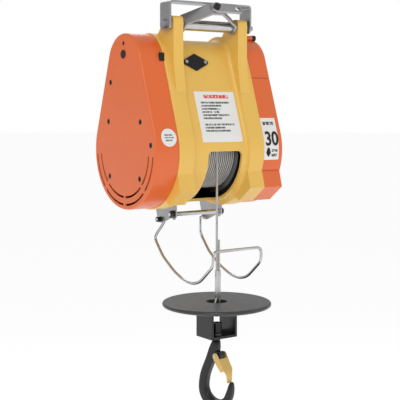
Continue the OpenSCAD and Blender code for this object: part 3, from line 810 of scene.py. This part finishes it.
def hookSections():
    # (across, height, half width, half thickness, way along the hook)
    bowl = hookShape["bowl"]
    rows = [(0, -0.3945, 0.008, 0.008), (-0.001, -0.402, 0.0098, 0.009), (-0.0045, -0.416, 0.0125, 0.0098),
        (-0.0115, -0.432, 0.0105, 0.010), (-0.0190, -0.447, 0.0098, 0.010), (-0.0270, -0.464, 0.0098, 0.010),
        (-0.0322, -0.480, 0.0100, 0.010)]
    for i in range(17):
        t = i / 16
        a = math.radians(176 + 172 * t)
        swell = 0.0100 + 0.0028 * math.sin(math.pi * min(1, t * 1.15)) - 0.002 * t
        rows.append((0.0010 + 0.0350 * math.cos(a), bowl + 0.001 + 0.0350 * math.sin(a), swell, 0.010 - 0.002 * t))
    rows += [(0.0375, -0.500, 0.0068, 0.0078), (0.0390, -0.491, 0.0058, 0.0072),
        (0.0402, -0.483, 0.0048, 0.0062), (0.0406, -0.479, 0.0030, 0.0040)]
    return rows


def hookFrame():
    turn = math.radians(hookShape["turn"])
    return Vector((math.cos(turn), math.sin(turn), 0)), Vector((-math.sin(turn), math.cos(turn), 0))


def makeHook():
    across, through = hookFrame()
    origin = Vector((ropeAt.x, ropeAt.y, drumAxis.z))
    rows = hookSections()
    centres = [origin + across * u + Vector((0, 0, z)) for u, z, w, t in rows]
    bm = bmesh.new()
    rings = []
    sides = 28
    for i, (u, z, w, t) in enumerate(rows):
        ahead = centres[min(i + 1, len(rows) - 1)] - centres[max(i - 1, 0)]
        out = through.cross(ahead.normalized()).normalized()
        ring = []
        for k in range(sides):
            a = 2 * math.pi * k / sides
            ca, sa = math.cos(a), math.sin(a)
            boxy = 0.55 if 1 < i < len(rows) - 2 else 0.9
            ring.append(bm.verts.new(centres[i] + out * w * math.copysign(abs(ca) ** boxy, ca)
                + through * t * math.copysign(abs(sa) ** boxy, sa)))
        rings.append(ring)
    for a, b in zip(rings, rings[1:]):
        for k in range(sides):
            bm.faces.new((a[k], a[(k + 1) % sides], b[(k + 1) % sides], b[k]))
    bm.faces.new(rings[0])
    bm.faces.new(rings[-1])
    piece = linkMesh("forgedHook", bm, blackSteel, 60)
    mod = piece.modifiers.new("smooth", "SUBSURF")
    mod.levels = mod.render_levels = 1
    applied(piece)
    axis = Matrix.Translation((ropeAt.x, ropeAt.y, 0))
    extra = bmesh.new()
    for low, high, r in ((-0.3955, -0.3825, 0.008), (-0.3835, -0.3605, 0.0065)):
        bmesh.ops.create_cone(extra, cap_ends=True, segments=40, radius1=r, radius2=r, depth=high - low,
            matrix=axis @ Matrix.Translation((0, 0, drumAxis.z + (low + high) / 2)))
    # the eye that carries the latch pin
    pin = boxCentre("latch_pin")
    turned = through.to_track_quat("Z", "Y").to_matrix().to_4x4()
    bmesh.ops.create_cone(extra, cap_ends=True, segments=40, radius1=0.0085, radius2=0.0085, depth=0.0175,
        matrix=Matrix.Translation(pin) @ turned)
    adds = bpy.data.meshes.new("hookExtra")
    extra.to_mesh(adds)
    extra.free()
    bm = bmesh.new()
    bm.from_mesh(piece.data)
    bm.from_mesh(adds)
    bm.to_mesh(piece.data)
    bm.free()
    shadeSmooth(piece.data, 45)
    standsFor(piece, "hook", "black_steel", "hook")
    print("hook made")


makeHook()

# the spring latch: a folded sheet, closed along its outer side
latchShape = {"lean": 30, "half": 0.0151, "sheet": 0.0015, "outline": [(-0.007, -0.004), (-0.0062, -0.018),
    (-0.003, -0.035), (0.0055, -0.035)], "web": [(0.0048, -0.009, 0.0148), (0.0048, -0.034, 0.0148),
    (0.0042, -0.041, 0.0112), (0.0012, -0.0485, 0.0088), (-0.0050, -0.0595, 0.0078)]}


def makeLatch():
    across, through = hookFrame()
    lean = math.radians(latchShape["lean"])
    up = Vector((0, 0, 1))
    outward, along = across * math.cos(lean) + up * math.sin(lean), up * math.cos(lean) - across * math.sin(lean)
    pin = boxCentre("latch_pin")
    bm = bmesh.new()
    ring = [(0.007 * math.cos(math.pi * i / 16), 0.007 * math.sin(math.pi * i / 16)) for i in range(17)]
    ring += latchShape["outline"]
    for side in (-1, 1):
        ends = [[bm.verts.new(pin + outward * x + along * z + through * side * y) for x, z in ring]
            for y in (latchShape["half"], latchShape["half"] - latchShape["sheet"])]
        for i in range(len(ring)):
            j = (i + 1) % len(ring)
            bm.faces.new((ends[0][i], ends[0][j], ends[1][j], ends[1][i]))
        bm.faces.new(ends[0])
        bm.faces.new(ends[1])
    rows = []
    for x, z, half in latchShape["web"]:
        rows.append([bm.verts.new(pin + outward * (x + t) + along * z + through * w)
            for w, t in ((-half, 0), (half, 0), (half, latchShape["sheet"]), (-half, latchShape["sheet"]))])
    for a, b in zip(rows, rows[1:]):
        for k in range(4):
            bm.faces.new((a[k], a[(k + 1) % 4], b[(k + 1) % 4], b[k]))
    bm.faces.new(rows[0])
    bm.faces.new(rows[-1])
    piece = linkMesh("latchSheet", bm, latchYellow)
    softEdges(piece, 0.0004, 40, 2)
    standsFor(piece, "latch", "latch_yellow", "latch")


makeLatch()

# numbers and arrow on the height label
labelMark = {"digits": "30", "size": 0.036, "lift": 0.00065}


def wrapToCover(obj):
    # lays a flat drawing in X and Z onto the cover's front
    big = cover["big"] + 0.0005 + labelMark["lift"]
    small = cover["top"] + 0.0005 + labelMark["lift"]
    s = (big - small) / motorRise
    c = math.sqrt(1 - s * s)
    for v in obj.data.vertices:
        z = v.co.z - drumAxis.z
        if z < big * s:
            y = -math.sqrt(max(0, big * big - z * z))
        else:
            y = -(big - z * s) / c
        v.co.y += drumAxis.y + y


def flatMark(name, bm):
    for i in range(-20, 30):
        bmesh.ops.bisect_plane(bm, geom=bm.verts[:] + bm.edges[:] + bm.faces[:],
            plane_co=(0, 0, drumAxis.z + i * 0.003), plane_no=(0, 0, 1))
    solid = bmesh.ops.extrude_face_region(bm, geom=bm.faces[:])
    for v in [g for g in solid["geom"] if isinstance(g, bmesh.types.BMVert)]:
        v.co.y -= 0.0003
    obj = linkMesh(name, bm, blackPlastic)
    wrapToCover(obj)
    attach(obj, "frame")
    return obj


def makeLabelMarks():
    x0, x1 = span("height_label", 0)
    z0, z1 = span("height_label", 2)
    curve = bpy.data.curves.new("digits", "FONT")
    curve.body = labelMark["digits"]
    curve.size = labelMark["size"]
    curve.offset = 0.0007
    textObj = bpy.data.objects.new("digits", curve)
    bpy.context.collection.objects.link(textObj)
    graph = bpy.context.evaluated_depsgraph_get()
    mesh = bpy.data.meshes.new_from_object(textObj.evaluated_get(graph))
    bpy.data.objects.remove(textObj)
    bm = bmesh.new()
    bm.from_mesh(mesh)
    xs = [v.co.x for v in bm.verts]
    ys = [v.co.y for v in bm.verts]
    for v in bm.verts:
        u, w = v.co.x - (min(xs) + max(xs)) / 2, v.co.y - (min(ys) + max(ys)) / 2
        v.co = Vector(((x0 + x1) / 2 + 0.002 + u, 0, (z0 + z1) / 2 + 0.001 + w * 1.12))
    flatMark("heightDigits", bm)
    arrow = bmesh.new()
    cx, cz = x0 + 0.011, z0 + 0.016
    outline = [(-0.0026, 0.009), (0.0026, 0.009), (0.0026, -0.002), (0.0058, -0.002), (0, -0.010),
        (-0.0058, -0.002), (-0.0026, -0.002)]
    arrow.faces.new([arrow.verts.new((cx + u, 0, cz + w)) for u, w in outline])
    bmesh.ops.triangulate(arrow, faces=arrow.faces[:])
    flatMark("heightArrow", arrow)


makeLabelMarks()
